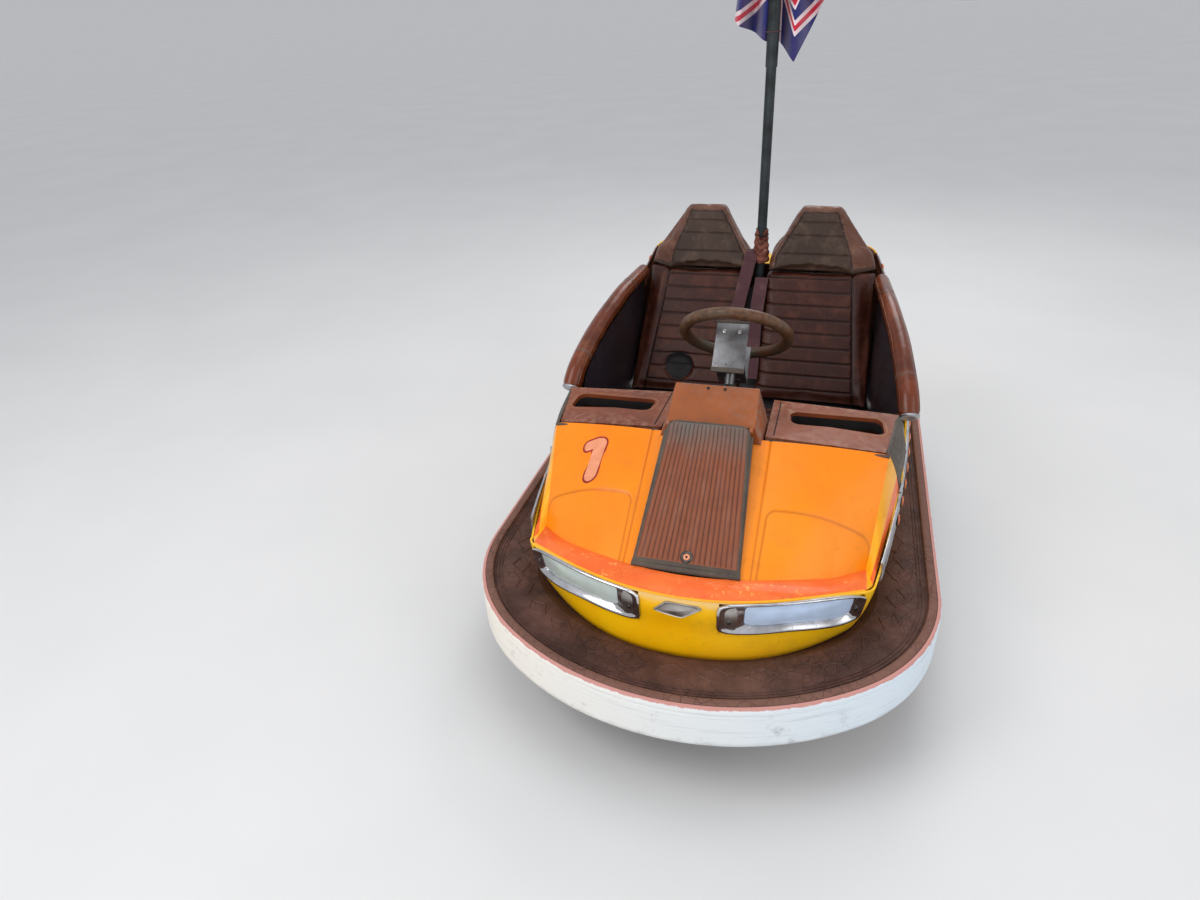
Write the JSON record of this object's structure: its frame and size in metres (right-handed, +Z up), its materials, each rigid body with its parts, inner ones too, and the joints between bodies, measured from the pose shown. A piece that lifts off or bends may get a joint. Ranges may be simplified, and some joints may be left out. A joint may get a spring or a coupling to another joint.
{
  "type": "bumper car",
  "caption": "Two-seat fairground bumper car: rubber bumper ring, hollow moulded body, ribbed hatch, centre steering wheel, tall headrests and a rear current pole with a flag.",
  "frame": {"origin": "on the floor under the middle of the bumper's outline", "axes": "-Y is the front, +Y the rear, +X to the car's left as its riders sit, +Z up"},
  "size_m": [1.2, 1.95, 2.7],
  "materials": {
    "frame_paint": "satin black chassis paint, worn and dusty",
    "floor_plate": "scuffed steel sheet",
    "deck_rubber": "cracked brown rubber",
    "side_rubber": "white rubber side wall with scuffs",
    "body_yellow": "glossy moulded shell, yellow",
    "body_orange": "glossy moulded shell, orange",
    "dash_brown": "worn brown moulding",
    "hatch_brown": "ribbed brown moulding",
    "chrome": "pitted chrome plate",
    "lens": "milky lens",
    "silver_sheet": "bright rolled sheet",
    "lamp_orange": "orange lamp cap",
    "seat_vinyl": "dark brown padded vinyl",
    "headrest_vinyl": "grey-brown padded vinyl",
    "roll_vinyl": "glossy tan-brown padded vinyl",
    "tub_brown": "dark brown moulded lining",
    "pole_steel": "dark grey tube",
    "boot_leather": "red-brown leather boot",
    "contact_brass": "worn contact metal",
    "flag_cloth": "thin printed flag cloth",
    "belt_web": "dark red-brown webbing",
    "pedal_rubber": "ribbed black rubber",
    "wheel_steel": "grey painted steel",
    "wheel_rubber": "solid black rubber",
    "ring_worn": "worn brown rim",
    "bracket_steel": "worn dark paint over steel",
    "motor_paint": "grey motor paint"
  },
  "bodies": {
    "chassis": {"chassis_frame": "frame_paint", "floor_pan": "floor_plate", "bumper_tyre": "deck_rubber", "bumper_band": "side_rubber", "nose_shell": "body_yellow", "hood_shell": "body_orange", "side_left": "body_yellow", "side_right": "body_yellow", "tail_shell": "body_yellow", "console": "dash_brown", "dash_left": "dash_brown", "dash_right": "dash_brown", "lamp_frames": "chrome", "lamp_lenses": "lens", "badge_plate": "chrome", "column_tube": "frame_paint", "rear_axle": "wheel_steel", "seat_base": "seat_vinyl", "seat_shell": "tub_brown", "seat_backs": "seat_vinyl", "headrests": "headrest_vinyl", "inner_panels": "tub_brown", "rolls": "roll_vinyl", "sills": "silver_sheet", "side_strips": "silver_sheet", "strip_lamps": "lamp_orange", "pole_tube": "pole_steel", "pole_sleeve": "pole_steel", "pole_boot": "boot_leather", "collector_head": "contact_brass", "flag": "flag_cloth", "belts": "belt_web", "pedal": "pedal_rubber"},
    "hatch": {"hatch_cover": "hatch_brown", "hatch_lock": "chrome"},
    "steering": {"steering_ring": "ring_worn", "steering_bracket": "bracket_steel"},
    "drive_unit": {"drive_fork": "wheel_steel", "drive_motor": "motor_paint"},
    "drive_wheel": {"drive_hub": "wheel_steel", "drive_tyre": "wheel_rubber"},
    "rear_wheel_left": {"rear_hub_left": "wheel_steel", "rear_tyre_left": "wheel_rubber"},
    "rear_wheel_right": {"rear_hub_right": "wheel_steel", "rear_tyre_right": "wheel_rubber"}
  },
  "joints": [
    {"name": "hatch_hinge", "type": "hinge", "parent": "chassis", "child": "hatch", "pos_m": [0, -0.404, 0.672], "axis": [-1, 0, 0], "range_deg": [0, 70]},
    {"name": "steering_turn", "type": "hinge", "parent": "chassis", "child": "steering", "pos_m": [0, 0.06, 0.732], "axis": [0, 0.6947, 0.7193], "continuous": true},
    {"name": "drive_turn", "type": "hinge", "parent": "chassis", "child": "drive_unit", "pos_m": [0, -0.563, 0.3], "axis": [0, 0, 1], "continuous": true},
    {"name": "drive_spin", "type": "hinge", "parent": "drive_unit", "child": "drive_wheel", "pos_m": [0, -0.563, 0.13], "axis": [1, 0, 0], "continuous": true},
    {"name": "rear_left_spin", "type": "hinge", "parent": "chassis", "child": "rear_wheel_left", "pos_m": [-0.38, 0.52, 0.1], "axis": [1, 0, 0], "continuous": true},
    {"name": "rear_right_spin", "type": "hinge", "parent": "chassis", "child": "rear_wheel_right", "pos_m": [0.38, 0.52, 0.1], "axis": [1, 0, 0], "continuous": true}
  ],
  "couplings": [
    {"joint": "steering_turn", "follows": "drive_turn", "ratio": 1}
  ]
}
